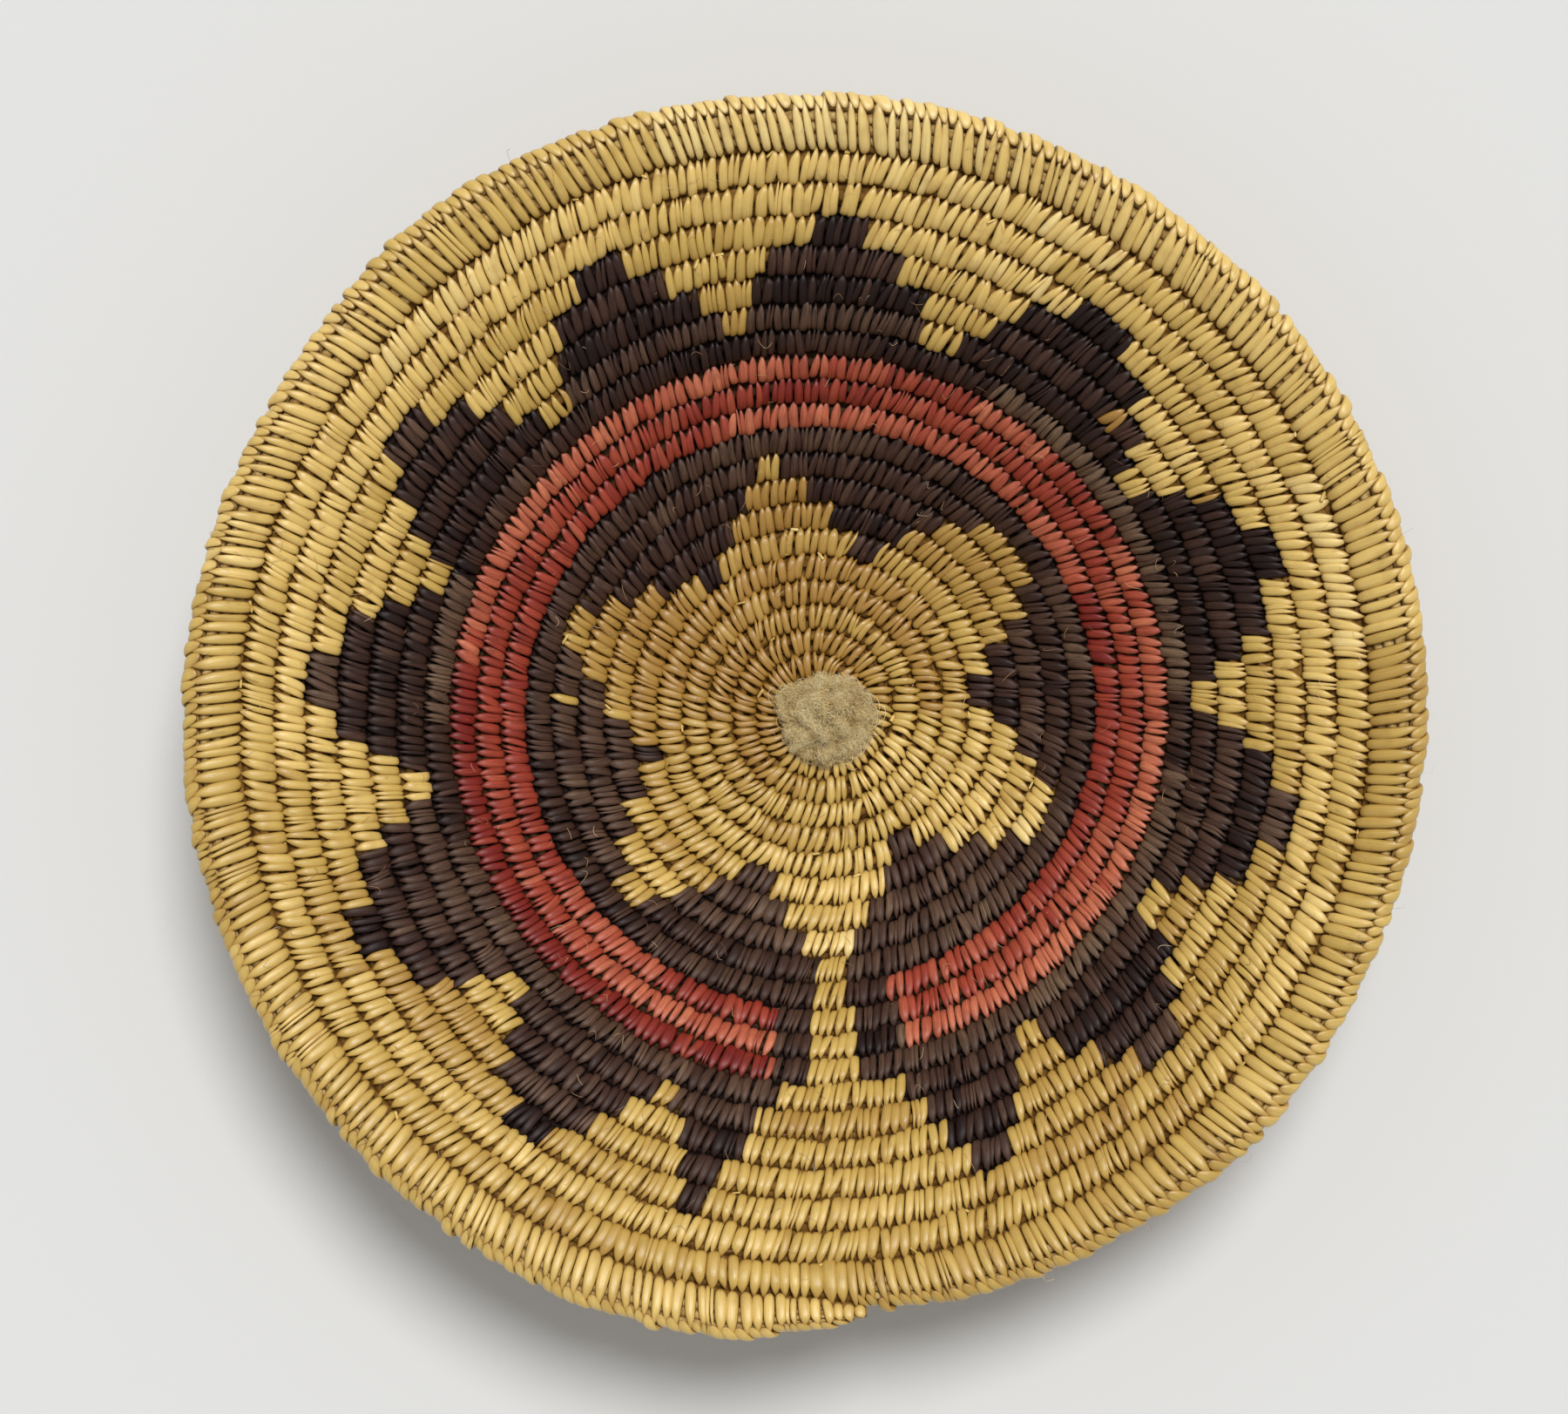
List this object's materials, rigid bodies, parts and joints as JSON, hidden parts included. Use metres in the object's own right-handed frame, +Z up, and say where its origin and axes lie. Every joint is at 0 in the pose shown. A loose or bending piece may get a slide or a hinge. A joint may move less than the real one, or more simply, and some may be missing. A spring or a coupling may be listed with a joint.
{
  "type": "coiled wedding basket",
  "caption": "Shallow round bowl coiled from a rod bundle and sewn with natural, dark and red splints in a stepped ring pattern with one natural pathway.",
  "frame": {"origin": "under the middle of the outline, at the plane that the flat base rests on; the coil's axis stands 2 mm to +X and 1.25 mm to -Y of it, because the rim is uneven", "axes": "+Z up out of the open bowl; -Y toward the natural pathway and the end of the rim coil"},
  "size_m": [0.3274, 0.328, 0.0669],
  "materials": {
    "natural_splint": "satin",
    "dark_splint": "satin",
    "red_splint": "satin",
    "rod_wood": "matte",
    "loose_fibre": "matte"
  },
  "bodies": {
    "root": {"base_wrapping_inner": "natural_splint", "base_wrapping_outer": "natural_splint", "centre_tuft": "loose_fibre", "inner_dark_round": "dark_splint", "inner_step_1": "dark_splint", "inner_step_2": "dark_splint", "inner_step_3": "dark_splint", "inner_step_4": "dark_splint", "inner_step_5": "dark_splint", "inner_step_6": "dark_splint", "outer_dark_round": "dark_splint", "outer_gap_01": "natural_splint", "outer_gap_02": "natural_splint", "outer_gap_03": "natural_splint", "outer_gap_04": "natural_splint", "outer_gap_05": "natural_splint", "outer_gap_06": "natural_splint", "outer_gap_07": "natural_splint", "outer_gap_08": "natural_splint", "outer_gap_09": "natural_splint", "outer_gap_10": "natural_splint", "outer_gap_11": "natural_splint", "outer_gap_12": "natural_splint", "outer_step_01": "dark_splint", "outer_step_02": "dark_splint", "outer_step_03": "dark_splint", "outer_step_04": "dark_splint", "outer_step_05": "dark_splint", "outer_step_06": "dark_splint", "outer_step_07": "dark_splint", "outer_step_08": "dark_splint", "outer_step_09": "dark_splint", "outer_step_10": "dark_splint", "outer_step_11": "dark_splint", "outer_step_12": "dark_splint", "pathway_border_left": "dark_splint", "pathway_border_right": "dark_splint", "pathway_wrapping": "natural_splint", "red_round_inner": "red_splint", "red_round_middle": "red_splint", "red_round_outer": "red_splint", "rim_end_tip": "natural_splint", "rim_seat_round": "natural_splint", "rim_wrapping": "natural_splint", "rod_foundation": "rod_wood", "star_gap_1": "natural_splint", "star_gap_2": "natural_splint", "star_gap_3": "natural_splint", "star_gap_4": "natural_splint", "star_gap_5": "natural_splint", "star_gap_6": "natural_splint", "upper_round": "natural_splint"}
  },
  "joints": []
}
